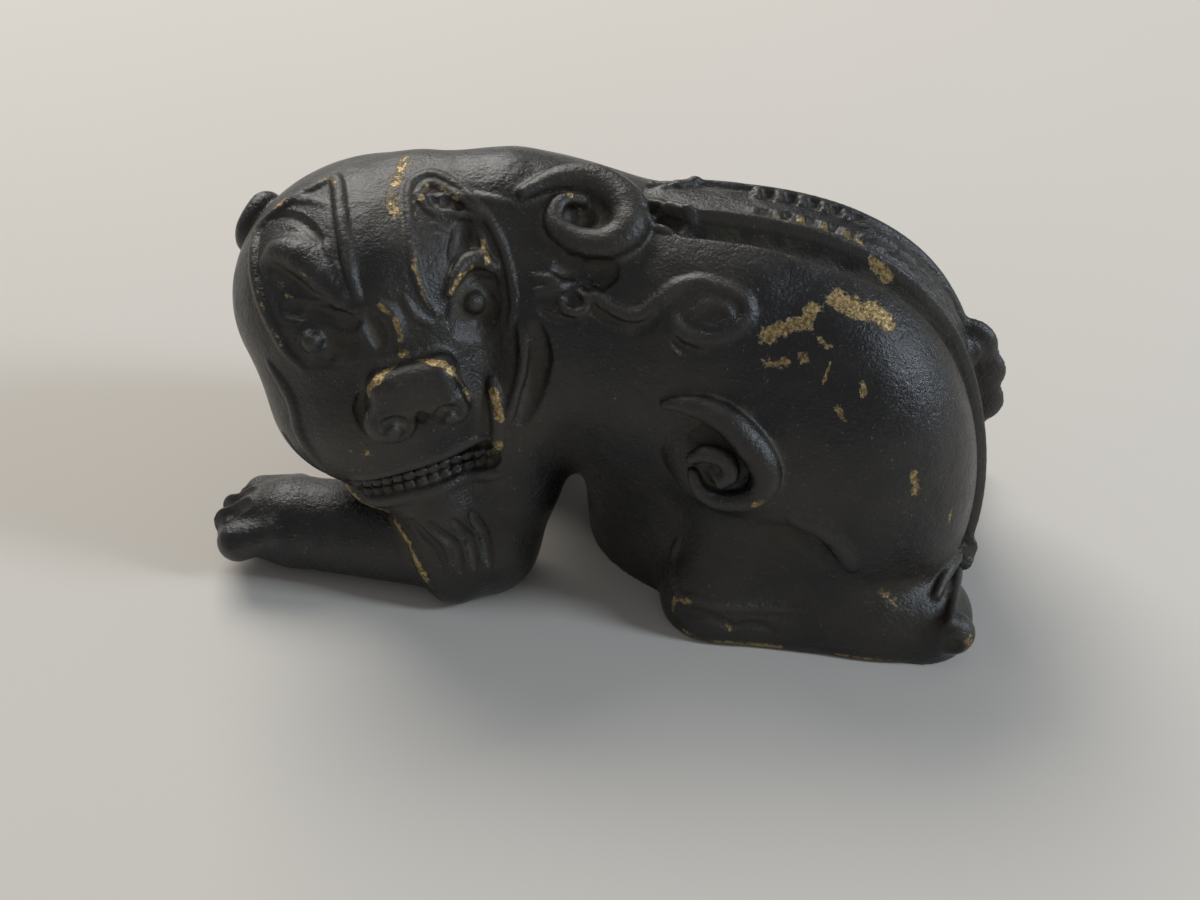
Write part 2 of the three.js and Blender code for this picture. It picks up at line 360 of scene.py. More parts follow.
def stroke(line, half, height, name=None, taper=0.15):
    """A rounded ridge (or a groove, at a negative height) along a line on the skin."""
    line = on_skin(smooth_line(line), 3)
    where, mask, grid = near_skin(line.min(0) - half - 1, line.max(0) + half + 1)
    gap, along = to_line(grid, line)
    ends = np.clip(np.minimum(along, 1 - along) / taper, 0, 1) if taper else 1.0
    wide = half * (0.35 + 0.65 * np.sqrt(ends))
    rise = np.clip(1 - (gap / wide) ** 2, 0, 1) ** 1.5
    if name:
        inlay(name, where, mask, gap - half - INLAY_SPREAD)
    values = field[where]  # a view, so the next line edits the field itself
    values[mask] -= (height * rise * np.sqrt(ends)).astype(np.float32)


def dent(points, radius, depth):
    """Rounded dents (or bumps, at a negative depth) at points on the skin."""
    points = np.asarray(points, float)
    where, mask, grid = near_skin(points.min(0) - radius, points.max(0) + radius)
    values = field[where]
    change = np.zeros(len(grid))
    for at in points:
        share = 1 - ((grid - at) ** 2).sum(1) / radius**2
        change = np.maximum(change, np.clip(share, 0, 1) ** 2)
    values[mask] += (depth * change).astype(np.float32)


def cord(name, line, radii, lift, blend):
    """A raised rope of metal laid along a line on the skin."""
    line = lifted(smooth_line(line, 5), lift)
    spread = np.interp(np.linspace(0, 1, len(line)), np.linspace(0, 1, len(radii)), radii)
    mass(name, [tube(line, spread)], blend, inner=blend)


# ---------- the lion's masses ----------
def build_trunk():
    """Chest and rump, two masses that meet at the waist."""
    ribs = egg((3, 0, 22.6), (17, 12, 14))
    neck = egg((-9, 1.5, 25), (14, 11.5, 13.6), (0, -8, 0))
    dome = egg((15.7, 0, 6), (18.6, 12.4, 29))
    barrel = egg((13.5, 0, 22.4), (16.5, 12.2, 13.9))
    mass("ribcage", [ribs, neck], 2.0, inner=5, keep=lambda x, y, z: WAIST_SLOPE * (x - WAIST_X) + 0 * y)
    mass("rump", [dome, barrel], 5.0, inner=3, keep=lambda x, y, z: WAIST_SLOPE * (WAIST_X - x) + 0 * y)


def build_legs():
    for name, side in SIDES.items():
        mass(name + "_thigh", [
            egg((22.5, 5.6 * side, 14.5), (11.3, 9.4, 18.2), (0, -8, 0)),
            egg((14, 8.4 * side, 17), (7.2, 6.2, 8.5)),
        ], 2.6, inner=4)
        mass(name + "_hind_foot", [
            tube([(30.4, 10.9 * side, 1.4), (11.5, 11.2 * side, 1.4)], 5),
            tube([(14, 8.5 * side, 10), (12, 10.4 * side, 3)], 5.3),
            tube([(14, 8.5 * side, 10), (26, 10 * side, 3)], 5.2),
        ], 1.3, inner=2.5)
        mass(name + "_upper_arm", [
            tube([(-8.2, 7.8 * side, 20), (-9.2, 9 * side, 11), (-11, 9.8 * side, 5)], (5.4, 5.4, 5)),
        ], 3.0)
    for name, tip, y in (("left", -38.1, -11.2), ("right", -32.2, 8)):
        toes = []
        for i in range(4):
            off = (i - 1.5) * 2.35
            x = tip + 2.1 + 0.12 * off**2
            toes.append(tube([(x, y + off, 4.2), (x + 4, y + off * 0.9, 5.6)], (2.0, 1.7)))
        arm = [
            tube([(-11, y, 4.6), (tip + 8.2, y, 4.4)], (5.1, 4.4)),
            tube([(tip + 8.2, y, 4.4), (tip + 5.6, y, 4.2)], (4.4, 3.9)),
        ]
        mass(name + "_foreleg", [*arm, *toes], 1.6, inner=0.7)
        for off in (-2.3, 0, 2.3):
            web = [(tip + 1.2, y + off, 2.2), (tip + 0.6, y + off, 4.4), (tip + 1.6, y + off, 7),
                   (tip + 4.4, y + 0.9 * off, 8.4)]
            stroke(web, 0.9, -1.5, taper=0.35)


def build_head():
    mass("head", [
        egg((0, 0.5, 1.3), (14, 12.8, 11.3), (14, 0, 0), in_head=True),
        egg((-1, -4.2, -5.6), (12, 10.6, 9.8), in_head=True),
    ], 1.0, inner=2.5)
    mass("lower_jaw", [egg((-0.4, -8, -12.6), (8, 6, 3.8), in_head=True)], 0.8)
    mass("beard", [tube([(-14.2, -12.4, 10.5), (-13.2, -14.6, 2.4)], (4.4, 2.3))], 1.5)


build_trunk()
build_legs()
build_head()


# ---------- curls, locks and tail ----------
def build_curls():
    """The curl on each knee and the knob on each heel."""
    for name, side in SIDES.items():
        mass(name + "_knee_curl", [
            egg((11.8, 12.4 * side, 19.6), (5.4, 2.6, 5.2), (20 * side, 0, 0)),
        ], 1.2)
        hollow = [(8.4, 21.6), (10.4, 22.3), (12.4, 21.4), (13.4, 19.8), (12.8, 18.6)]
        stroke(on_flank(hollow, side), 1.2, -1.2, taper=0.3)
        ring = [(6.2, 24.3), (8, 24.6), (10, 24.3), (12, 23.5), (13.7, 22.2), (14.9, 20.7),
                (15.3, 19.1), (14.6, 17.8), (13, 17.1), (11.3, 17.0), (9.9, 17.7), (9.2, 19)]
        ring_radii = (0.4, 0.9, 1.2, 1.35, 1.45, 1.4, 1.3, 1.15, 1.0, 0.9, 0.8, 0.5)
        cord(name + "_knee_curl", on_flank(ring, side), ring_radii, 0.3, 0.4)
        eye = [(9.0, 20.2), (10.2, 20.9), (11.6, 20.6), (12.2, 19.5), (11.6, 18.7)]
        cord(name + "_knee_curl", on_flank(eye, side), (0.5, 0.8, 0.85, 0.8, 0.6), 0.4, 0.3)
        dent(on_flank([(11.0, 19.3)], side), 1.0, -0.7)
        heel = on_flank([(33.2, 3.3)], side)
        mass(name + "_hock_tuft", [egg(heel[0], (2.0, 1.7, 2.2))], 0.7)
        dent(on_flank([(33.3, 3.2)], side), 1.15, 1.0)
        curl = on_flank([(31.4, 6.0), (32.4, 7.0), (33.4, 6.6), (33.6, 5.6), (32.8, 5.2)], side)
        cord(name + "_hock_tuft", curl, (0.4, 0.75, 0.8, 0.7, 0.4), 0.1, 0.3)


def build_ears():
    """The volute locks at the ears, the near one with a shadowed hollow under it."""
    band = np.array([(-17, -5.5, 37.6), (-13, -4.6, 38.2), (-8, -4.4, 37.4)])
    mass("left_ear", [
        tube([(-17, 0, 33.5), (-10, 0, 33.9), (-3, 0, 32.3)], (5.4, 5.8, 5.3)),
    ], 2.0)
    ring = on_back([(-7.6, -3.6), (-5, -1.6), (-2, -0.9), (0.8, -2.2), (1.6, -4.4), (0, -5.8),
                    (-2.6, -6.0), (-4.6, -5.2), (-4.4, -3.6), (-2.8, -3.0)])
    cord("left_ear", ring, (0.6, 1.2, 1.7, 1.9, 1.8, 1.5, 1.2, 1.0, 0.8, 0.6), 0.2, 0.5)
    stroke(on_back([(-4.2, -7.4), (-1.6, -8), (1.2, -7.4)]), 1.7, -1.3, taper=0.3)
    stroke(band, 0.6, 0.35, taper=0.3)
    dent(on_back([(-3.2, -4.4), (-2.2, -4.3)]), 1.3, 1.2)
    ring = on_skin([(-33.0, 4, 28), (-34, 2.6, 31.6), (-33.6, 0.2, 33), (-34, -1.6, 31),
                    (-34.4, -1.0, 29), (-34.4, 0.8, 29.6)])
    cord("right_ear", ring, (0.6, 1.2, 1.3, 1.1, 0.9, 0.6), 0.6, 0.5)


def build_tail():
    lobes = [(31.9, 3.6, 23, 2.1), (33.2, 4.2, 20.4, 2.3), (33.8, 3.8, 17.4, 2.0)]
    mass("tail_tuft", [egg((x, y, z), (r, r, r)) for x, y, z, r in lobes], 0.6, inner=0.5)
    for z in (24.5, 21.6, 18.6):
        stroke([(33.2, 1.4, z), (35.2, 3.2, z - 0.4), (34.6, 5.6, z - 1)], 0.4, -0.4, taper=0.2)


build_curls()
build_ears()
build_tail()


def cut_ground():
    """Cuts everything off flat at the ground, where the lion rests."""
    np.maximum(field, -AXES[2][None, None, :], out=field)


# ---------- spine ----------
def build_spine():
    """A flat band down the back, with raised borders, pads over the ribs and facets on the rump."""
    line = on_skin(smooth_line(SPINE, 10))
    where, mask, grid = near_skin(line.min(0) - 5, line.max(0) + 5)
    step = np.diff(line, axis=0)
    spans = np.linalg.norm(step, axis=1)
    step /= spans[:, None]
    up = slope_of(field, line[:-1], 0.4)
    across = np.cross(up / np.linalg.norm(up, axis=1, keepdims=True), step)
    _, along = to_line(grid, line)
    start = np.concatenate([[0], np.cumsum(spans)])
    s = along * start[-1]
    k = np.clip(np.searchsorted(start, s, side="right") - 1, 0, len(spans) - 1)
    u = np.abs(((grid - line[k]) * across[k]).sum(1))
    half = np.interp(s, (0, 4, 22, 50, start[-1]), (1.4, 3.2, 3.6, 3.4, 2.2))
    ends = np.clip(np.minimum(s, start[-1] - s) / 1.5, 0, 1)

    def bar(centre, width):
        return np.clip(1 - ((u - centre) / width) ** 2, 0, 1) ** 1.5

    plateau = 0.55 * np.clip((half - u) / 0.4, 0, 1)
    edge = 0.3 * bar(half - 0.6, 0.75) - 0.95 * bar(half + 0.65, 0.85)
    over_ribs = np.clip((19.5 - s) / 1.5, 0, 1)
    rows = np.clip(np.cos(np.pi * (s - 15.6) / 1.0) * 2.5, -1, 1) * np.clip((s - 9) / 0.5, 0, 1)
    pads = 0.3 * rows * np.clip((0.85 - np.abs(u - 1.6)) / 0.2, 0, 1) * over_ribs
    trench = -0.3 * np.clip((2.5 - u) / 0.25, 0, 1) * over_ribs
    lines = -0.35 * (bar(half - 1.5, 0.35) + bar(0.0, 0.35)) * (1 - over_ribs)
    slope = (s + 1.2 * u) / 2.3 % 1
    facets = 0.22 * (slope - 0.5) * np.clip((half - 1.6 - u) / 0.3, 0, 1) * (1 - over_ribs)
    inlay("spine_ridge", where, mask, np.where(ends > 0, u - half - 0.2, FAR), 1.2)
    values = field[where]
    values[mask] -= ((plateau + edge + pads + trench + lines + facets) * ends).astype(np.float32)


build_spine()


# ---------- relief on the flanks ----------
def build_flanks():
    """Scrolls, leaves and creases, the same on both sides."""
    for name, side in SIDES.items():
        hem = [(-6.3, 32.9), (-4, 32.8), (-1.6, 32.5), (0.2, 31.6), (2.2, 31), (3.6, 31.2),
               (4.8, 32.2), (6.2, 33.2), (8, 33.7), (10, 33.6), (12, 32.9), (12.4, 31.6),
               (10.6, 30.3), (8.2, 30), (6.6, 30.8), (6.4, 31.8)]
        stroke(on_flank(hem, side), 0.75, 0.5, name + "_shoulder_scroll", taper=0.08)
        under = [(-1.4, 31.6), (0.4, 30.6), (2.4, 30), (4, 30.4), (5.2, 31.4)]
        stroke(on_flank(under, side), 0.9, -0.35, taper=0.3)
        oval = [(7.6, 31.4), (9, 32.4), (10.6, 32.2), (11, 31.4), (9.6, 30.9), (8.4, 31.2)]
        stroke(on_flank(oval, side), 0.5, 0.3, taper=0.2)
        stroke(on_flank([(6.2, 30), (7.6, 29), (9.6, 28.8)], side), 0.6, -0.5, taper=0.35)
        leaf = [(-6, 31.8), (-4.2, 32.3), (-2.6, 32.4), (-1.1, 31.8), (-1.4, 30.9), (-2.8, 30.8),
                (-3.6, 31.6)]
        stroke(on_flank(leaf, side), 0.55, 0.75, name + "_cheek_lock", taper=0.15)
        dent(on_flank([(-2.6, 31.7), (-2.1, 31.4)], side), 0.9, 0.5)
        stroke(on_flank([(-5.4, 30.6), (-3.6, 30), (-1.8, 30)], side), 0.6, -0.7, taper=0.4)
        tip = np.asarray([(2.0, -3.4), (3.4, -2.3), (5.2, -2.0), (7, -3.2), (5.4, -3.9), (3, -3.9)])
        stroke(on_back(tip * (1, -side)), 0.6, 0.7, name + "_mane_tip", taper=0.2)
        dent(on_back(np.asarray([(3.6, -3.1), (4.6, -3), (5.4, -3)]) * (1, -side)), 0.8, 0.6)
        crease = [(17.2, 15.6), (18.6, 14.8), (20.2, 14.3), (21.4, 13.4), (22.8, 11.6), (23.8, 9.4)]
        stroke(on_flank(crease, side), 1.3, 0.55, taper=0.35)
        below = [(14.6, 13.2), (17.4, 12.6), (20, 11.4), (21.6, 9)]
        stroke(on_flank(below, side), 2.2, -0.5, taper=0.4)
        rim = [(7.9, 8.6), (7.4, 6), (8.2, 4.4), (10, 4.6), (12.6, 4.5), (16, 4.4), (20, 4.6)]
        stroke(on_flank(rim, side), 0.6, 0.4, taper=0.15)
        claw = [(8.4, 2.9), (10.4, 3.4), (12.6, 3.0), (13.6, 2.4), (15.4, 2.8), (17.6, 2.2)]
        stroke(on_flank(claw, side), 0.7, -0.45, taper=0.2)
        stroke(on_flank([(8.2, 0.9), (13, 0.6), (20, 0.5), (30, 0.6)], side), 0.5, 0.25, taper=0.1)


build_flanks()


# ---------- the face ----------
def build_panels():
    """The two sunk panels of the face, each with a raised border and relief inside."""
    stroke(on_face([(6.2, 8.6), (7.8, 7.6)]), 3.2, -0.6, taper=0.4)
    stroke(on_face([(4.4, 3), (6.8, 3.4), (8.8, 4)]), 2.8, -0.6, taper=0.4)
    border = [(4, 4.2), (3.3, 5.4), (2.9, 6.8), (2.9, 8.6), (3.4, 10.6), (4.2, 12), (6.2, 12.2),
              (8.2, 11.4), (9.6, 10), (10.4, 8.2), (10.6, 6), (10.3, 3.8), (9.4, 1.6)]
    stroke(on_face(border), 0.5, 0.5, taper=0.1)
    leaf = [(4.6, 11.5), (5.8, 11.8), (7.2, 11.3), (8.6, 10.5), (9.4, 9.7), (8.4, 9.6), (7, 10),
            (5.4, 10.5), (4.6, 11.5)]
    stroke(on_face(leaf), 0.5, 0.5, taper=0)
    dent(on_face([(5.8, 11.1), (6.8, 10.8), (7.8, 10.3)]), 0.7, 0.5)
    for shift in (0, 0.7):
        stroke(on_face([(5.0, 10.0 - shift), (6.6, 9.1 - shift)]), 0.35, 0.25, taper=0.3)

    stroke(on_face([(-8.6, 9), (-6, 8), (-4.6, 6.4)]), 3.0, -0.5, taper=0.4)
    stroke(on_face([(-8, 4.2), (-5.6, 4.2), (-3, 4.6)]), 2.6, -0.9, taper=0.4)
    border = [(-2.3, 6.8), (-2.5, 8.8), (-2.2, 11), (-1.9, 12.7), (-3.9, 12.9), (-6, 12.2),
              (-8.3, 11.1), (-9.8, 9.9), (-10.5, 8.4), (-10.6, 6.6), (-10.1, 4.6), (-9.6, 3),
              (-8.4, 1.4)]
    stroke(on_face(border), 0.7, 0.7, taper=0.08)
    stroke(on_face([(-7.8, 11.3), (-6.2, 11.8), (-4.4, 12), (-2.9, 12)]), 0.7, 0.3, taper=0.3)
    stroke(on_face([(-9, 10.4), (-7.2, 11), (-5.4, 11.2), (-4, 10.4)]), 0.6, -0.6, taper=0.25)
    stroke(on_face([(-4, 10.6), (-3.6, 9), (-3.2, 7.6)]), 0.5, 0.35, taper=0.25)


def build_eyes():
    """Eyes, the thin raised brow on one side and the heavy rolled one on the other."""
    for s, name in ((1, "left"), (-1, "right")):
        at = on_face([(EYE[0] * s, EYE[1])])
        ring = on_face([(EYE[0] * s + 1.9 * math.cos(a), EYE[1] + 1.6 * math.sin(a))
                        for a in np.linspace(0, 2 * np.pi, 13)])
        stroke(ring, 0.8, -0.18, taper=0)
        mass(name + "_eye", [egg(at[0], (1.05, 1.05, 1.0))], 0.45)
    over = on_face([(5, 5.6), (6, 6.4), (7.2, 6.8), (8.4, 6.7), (9.4, 6.1)])
    cord("left_brow", over, (0.35, 0.6, 0.8, 0.85, 0.5), 0.2, 0.4)
    stroke(on_face([(6, 5.4), (7.4, 5.8), (8.8, 5.6), (9.4, 4.8)]), 0.5, -0.5, taper=0.3)
    stroke(on_face([(8.7, 6.9), (9, 7.8), (9, 8.8)]), 0.4, 0.4, taper=0.3)
    roll = on_face([(-9.4, 8.8), (-8, 9.6), (-6.2, 9.4), (-4.8, 8.4), (-3.8, 7.2)])
    cord("right_brow", roll, (0.7, 1.3, 1.7, 1.5, 0.8), -0.35, 0.6)
    stroke(on_face([(-9, 6.4), (-7.4, 6.2), (-5.4, 5.9), (-3.6, 5.4), (-2.4, 5.6)]), 1.0, -1.2,
           taper=0.2)
    for z in (3.0, 2.2):
        stroke(on_face([(-8, z + 0.6), (-5.8, z), (-3.8, z + 0.3)]), 0.4, 0.25, taper=0.3)


def build_nose():
    """A rounded block with a coil at each nostril, and the ridges of the bridge above it."""
    mass("nose", [
        slab((0.3, -13.7, -0.4), (3.9, 2.3, 2.4), 1.5, (-16, 0, 0)),
        egg((-2.4, -14.6, -2.5), (2.3, 1.8, 2.1), in_head=True),
        egg((2.9, -14.6, -2.3), (2.1, 1.8, 1.9), in_head=True),
    ], 0.7, inner=0.7)
    for x, z, size, s in ((-2.5, -2.2, 1.25, -1), (2.8, -2.3, 1.1, 1)):
        bend = ((-1.2, 1.7), (-1.75, 0.2), (-1.1, -1.3), (0.3, -1.5), (1.1, -0.5), (0.6, 0.5),
                (-0.3, 0.4), (-0.4, -0.3))
        coil = on_face([(x - u * s * size, z + v * size) for u, v in bend])
        stroke(coil, 0.6, -1.2, taper=0.12)
    stroke(on_face([(0.3, -1.2), (0.3, -2.6), (0.3, -3.6)]), 0.7, -0.9, taper=0.3)
    stroke(on_face([(-0.7, 6.6), (0.2, 5.4), (0.3, 3.8), (-0.2, 2.6)]), 0.6, 0.6, taper=0.2)
    stroke(on_face([(1.3, 6.6), (1.9, 5), (3.2, 3.6)]), 0.5, 0.3, taper=0.3)
    stroke(on_face([(-2.4, 6.2), (-1.6, 4.6), (-1.6, 3)]), 0.9, -0.8, taper=0.3)


def build_mouth():
    """A deep slot with two rows of small teeth, the lips and the corner of the mouth."""
    lip = [(-7.4, -11.2), (-5, -10.4), (-2.5, -9.8), (0, -9.6), (2.5, -9.5), (4.6, -9.4), (6, -9.2)]
    line = smooth_line(on_face(lip), 12)
    stroke(line, 1.5, -2.3, taper=0.06)
    spans = np.concatenate([[0], np.cumsum(np.linalg.norm(np.diff(line, axis=0), axis=1))])
    spots = np.linspace(0.9, spans[-1] - 0.9, TOOTH_PAIRS)
    at = np.stack([np.interp(spots, spans, line[:, k]) for k in range(3)], axis=1)
    inward = HEAD_TURNED @ (0, 1, 0)
    teeth = []
    for k, spot in enumerate(at):
        bearing = math.degrees(math.atan2(spot[0] - at[TOOTH_PAIRS // 2][0], 14.0))
        turn = (0, 0, HEAD_TURN + bearing)
        teeth.append(slab(spot + 0.85 * inward, (0.46, 0.7, 0.46), 0.2, turn, in_head=False))
        teeth.append(slab(spot + 1.0 * inward - (0, 0, 1.1), (0.42, 0.7, 0.38), 0.2, turn,
                          in_head=False))
    backing = tube(line + 2.1 * inward - (0, 0, 0.4), 0.6)
    mass("teeth", [backing, *teeth], 0.15, inner=0.15)
    stroke(on_face([(x, z + 1.8) for x, z in lip]), 0.7, 0.4, taper=0.15)
    stroke(on_face([(x, z - 2.0) for x, z in lip]), 0.8, 0.45, taper=0.15)
    corner = [(6.9, -2.2), (6.8, -4), (6.6, -6), (6.2, -7.8), (5.9, -9.4)]
    stroke(on_face(corner), 0.8, 0.8, taper=0.2)
    mask_edge = [(10.3, 2.2), (10.2, 0), (9.4, -2.4), (8, -4.8), (7, -6.6)]
    stroke(on_face(mask_edge), 0.6, 0.45, taper=0.2)
    stroke(on_face([(x + 1.3, z) for x, z in mask_edge]), 1.2, -0.9, taper=0.3)


def build_jaw():
    """The cheek fold, the jaw line and the flutes of the beard."""
    cheek = [(-11.6, 1.4), (-10.4, -1.4), (-10.5, -4), (-9.8, -7), (-8.6, -9.6)]
    stroke(on_face(cheek), 0.8, 0.55, taper=0.2)
    jaw = [(-12.2, -5.6), (-11.2, -8), (-10, -9.8), (-8.6, -11.6), (-6.6, -13.2), (-4.8, -14.4)]
    stroke(on_face(jaw), 0.6, -0.7, taper=0.15)
    for top, bottom in ((-1.6, -0.8), (0.4, 0.6), (-3.2, -2.4), (2.2, 2.0)):
        flute = on_face([(top, -14.4), ((top + bottom) / 2 + 0.4, -16), (bottom + 0.9, -17.6)])
        low = flute[-1] + (0.6, -0.8, -3.2)
        stroke([*flute, low], 0.6, -0.75, taper=0.25)
    edge = on_face([(-5.2, -14.6), (-4.6, -16.4), (-3.8, -17.8)])
    stroke([*edge, edge[-1] + (1.0, -0.8, -2.6), edge[-1] + (2.2, -1.2, -4.8)], 0.6, 0.55)


build_panels()
build_nose()
build_eyes()
build_mouth()
build_jaw()
cut_ground()


# ---------- wear, as a number on the skin ----------
def build_wear():
    """Lines where the patina is rubbed through to the brass: (line, half width, strength)."""
    wear = []
    for line, half, strength in (
        ([(-3.5, 0.9), (-2.4, 2.0), (0.2, 2.4), (2.6, 2.1), (3.8, 1.0)], 0.4, 1.3),
        ([(-3.9, 0.4), (-4.1, -1.2)], 0.4, 0.85),
        ([(4.2, 11.4), (2.9, 8.2), (2.9, 6.4), (3.4, 5), (4.4, 3.4)], 0.3, 0.72),
        ([(4.8, 2.8), (6, 1.8), (8, 1.6), (9.4, 2.4)], 1.1, 0.52),
        ([(-9.8, 9.9), (-10.5, 8.2), (-10.5, 6.2), (-9.8, 3.6)], 0.3, 0.6),
        ([(3.8, 0.9), (4.3, -0.6), (4.5, -2)], 0.3, 0.9),
        ([(-0.7, 6.4), (0.2, 5.2), (0.2, 3.6)], 0.35, 0.85),
        ([(5.4, 5.8), (6.4, 6.6), (7.6, 6.9)], 0.35, 0.9),
        ([(8.9, 6.9), (9, 8)], 0.35, 0.95),
        ([(4.8, 11.5), (5.6, 11.8)], 0.4, 0.8),
        ([(6.6, 11.5), (7.8, 10.9)], 0.4, 0.8),
        ([(-7.6, 11.6), (-6.8, 11.9)], 0.5, 0.8),
        ([(-2.6, 12.8), (-2, 12.8)], 0.5, 0.8),
        ([(-8.6, 7.8), (-8, 6.9)], 0.4, 0.75),
        ([(-6.8, 9.2), (-5.8, 8.9)], 0.4, 0.7),
        ([(4.4, 13.0), (3.2, 12.4), (2.2, 11.2)], 0.9, 0.88),
        ([(6.9, -3.2), (6.8, -5.4)], 0.5, 1.1),
        ([(6.2, -8), (5.8, -9.4)], 0.4, 1.1),
        ([(-9, -12), (-7.4, -13.2), (-5.2, -14.4)], 0.5, 1.0),
        ([(-6.4, -5.4), (-4.8, -5.6)], 0.5, 0.7),
        ([(-7.6, -7.6), (-6.2, -7.8)], 0.5, 0.7),
    ):
        wear.append((on_face(line), half, strength))
    for line, half, strength in (
        ([(14.2, 30.5), (15.8, 31.2), (17.2, 31.6), (17.8, 32.4)], 0.9, 1.1),
        ([(19.6, 33.0), (21, 32.4), (22.6, 32.2), (23.8, 31.6)], 1.0, 1.2),
        ([(14.6, 28.6), (16, 28.7)], 0.7, 0.95),
        ([(17, 29.2), (17.6, 29.2)], 0.6, 0.9),
        ([(18.6, 30.4), (19.3, 30.2)], 0.5, 0.9),
        ([(19.6, 29.2), (19.2, 27.4)], 0.12, 1.3),
        ([(22.3, 28.0), (22.6, 27)], 0.35, 0.95),
        ([(20.6, 25.8), (21.2, 25)], 0.5, 0.9),
        ([(27.6, 20), (28, 18.2)], 0.5, 1.05),
        ([(31.4, 15), (31.5, 13.6)], 0.3, 0.9),
        ([(26.4, 7), (27.8, 6)], 0.6, 0.85),
        ([(15.2, 17.9), (14.2, 17.3)], 0.4, 0.8),
        ([(8, 2.4), (8, 3.6), (9.4, 4.4)], 0.4, 1.0),
        ([(12.6, 3.2), (13.4, 2.2)], 0.35, 0.9),
        ([(9, 0.7), (13, 0.5), (18, 0.5)], 0.35, 1.0),
        ([(23, 0.5), (28, 0.5)], 0.25, 0.9),
        ([(34.6, 4), (34.8, 2.6)], 0.6, 0.9),
    ):
        wear.append((on_flank(line, -1), half, strength))
    for line, half, strength in (
        ([(14, -2.2), (14.6, -2.4)], 0.5, 0.9),
        ([(16, -1.9), (16.6, -2.2)], 0.6, 1.05),
        ([(18, -1.9), (18.8, -2.2)], 0.6, 1.05),
        ([(20, -1.9), (20.8, -2.3)], 0.7, 1.1),
        ([(22.4, -3.4), (23.6, -3.6)], 0.6, 1.15),
        ([(8, -3.6), (11, -3.7)], 0.3, 0.75),
        ([(-3.8, -3.4), (-2.2, -3.8)], 0.4, 0.9),
    ):
        wear.append((on_back(line), half, strength))
    beard = on_face([(-4.8, -16.6), (-4, -17.6)])
    wear.append((np.array([*beard, beard[-1] + (1.6, -1.0, -3.6)]), 0.45, 1.0))
    return wear


def rubbed(points, wear):
    """How much each point is rubbed, from the nearest worn line."""
    total = np.zeros(len(points))
    for line, half, strength in wear:
        reach = 2.2 * half
        near = ((points > line.min(0) - reach) & (points < line.max(0) + reach)).all(1)
        if near.any():
            gap, _ = to_line(points[near], line)
            total[near] = np.maximum(total[near], strength * np.exp(-0.6 * (gap / half) ** 2))
    return total


rubs = build_wear()


# ---------- the pieces ----------
def blurred(values, width):
    """A box blur of the field, once along each axis and then again."""
    half = max(1, int(round(width / VOXEL / 2)))
    for _ in range(2):
        for axis in range(3):
            padded = np.concatenate(
                [np.repeat(values.take([0], axis), half + 1, axis), values,
                 np.repeat(values.take([-1], axis), half, axis)], axis)
            total = np.cumsum(padded, axis=axis, dtype=np.float32)
            size = 2 * half + 1
            high = total.take(range(size, total.shape[axis]), axis)
            low = total.take(range(0, total.shape[axis] - size), axis)
            values = (high - low) / size
    return values


smoothed = blurred(np.clip(field, -2, 2), SMOOTHING)


def piece_mesh(number, parts):
    """The closed mesh of one piece: its own skin, running on a little under its neighbours."""
    first = np.min([[axis.start for axis in where] for where, _ in parts], axis=0)
    last = np.max([[axis.stop for axis in where] for where, _ in parts], axis=0)
    where = tuple(slice(a, b) for a, b in zip(first, last))
    distance = np.full(last - first, FAR, np.float32)
    for inner, values in parts:
        local = tuple(slice(a.start - b, a.stop - b) for a, b in zip(inner, first))
        distance[local] = np.minimum(distance[local], values)
    mine = owner[where] == number
    border = np.where(mine, (nearest[where] - second[where]) / 2, (distance - nearest[where]) / 2)
    values = np.maximum(field[where] + SINK * np.maximum(border, 0), border - OVERLAP)
    grid = openvdb.FloatGrid()
    grid.background = 3 * VOXEL
    grid.copyFromArray(np.clip(values, -3 * VOXEL, 3 * VOXEL).astype(np.float32))
    points, quads = grid.convertToQuads(0.0)
    corner = np.array([AXES[k][first[k]] for k in range(3)])
    return points.astype(float) * VOXEL + corner, quads


def largest_part(points, quads):
    """The piece without small loose crumbs."""
    label = np.arange(len(points))
    edges = np.concatenate([quads[:, [0, 1]], quads[:, [1, 2]], quads[:, [2, 3]], quads[:, [3, 0]]])
    while True:
        low = label[edges].min(1)
        new = label.copy()
        np.minimum.at(new, edges[:, 0], low)
        np.minimum.at(new, edges[:, 1], low)
        new = new[new]
        if (new == label).all():
            break
        label = new
    names, counts = np.unique(label, return_counts=True)
    keep = label == names[counts.argmax()]
    moved = np.cumsum(keep) - 1
    return points[keep], moved[quads[keep[quads[:, 0]]]]


def make_piece(name, number, material):
    points, quads = largest_part(*piece_mesh(number, pieces[name]))
    points[:, 2] = np.maximum(points[:, 2], 0)
    mesh = bpy.data.meshes.new(name + "_form")
    mesh.from_pydata(((points + SHIFT) * MM).tolist(), [], quads.tolist())
    mesh.update()
    mesh.shade_smooth()
    skin = slope_of(field, points)
    skin /= np.maximum(np.linalg.norm(skin, axis=1, keepdims=True), 1e-6)
    skin[(np.abs(sample(field, points)) > SKIN_NEAR) | (points[:, 2] < GROUND_NEAR)] = 0
    mesh.normals_split_custom_set_from_vertices(skin.tolist())
    hollow = sample(field, points) - sample(smoothed, points)
    for key, numbers in (("rub", rubbed(points, rubs)), ("hollow", hollow)):
        attribute = mesh.attributes.new(key, "FLOAT", "POINT")
        attribute.data.foreach_set("value", numbers.astype(np.float32))
    obj = bpy.data.objects.new(name + "_form", mesh)
    bpy.context.scene.collection.objects.link(obj)
    obj.data.materials.append(material)
    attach(obj, "root")
    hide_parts(name)


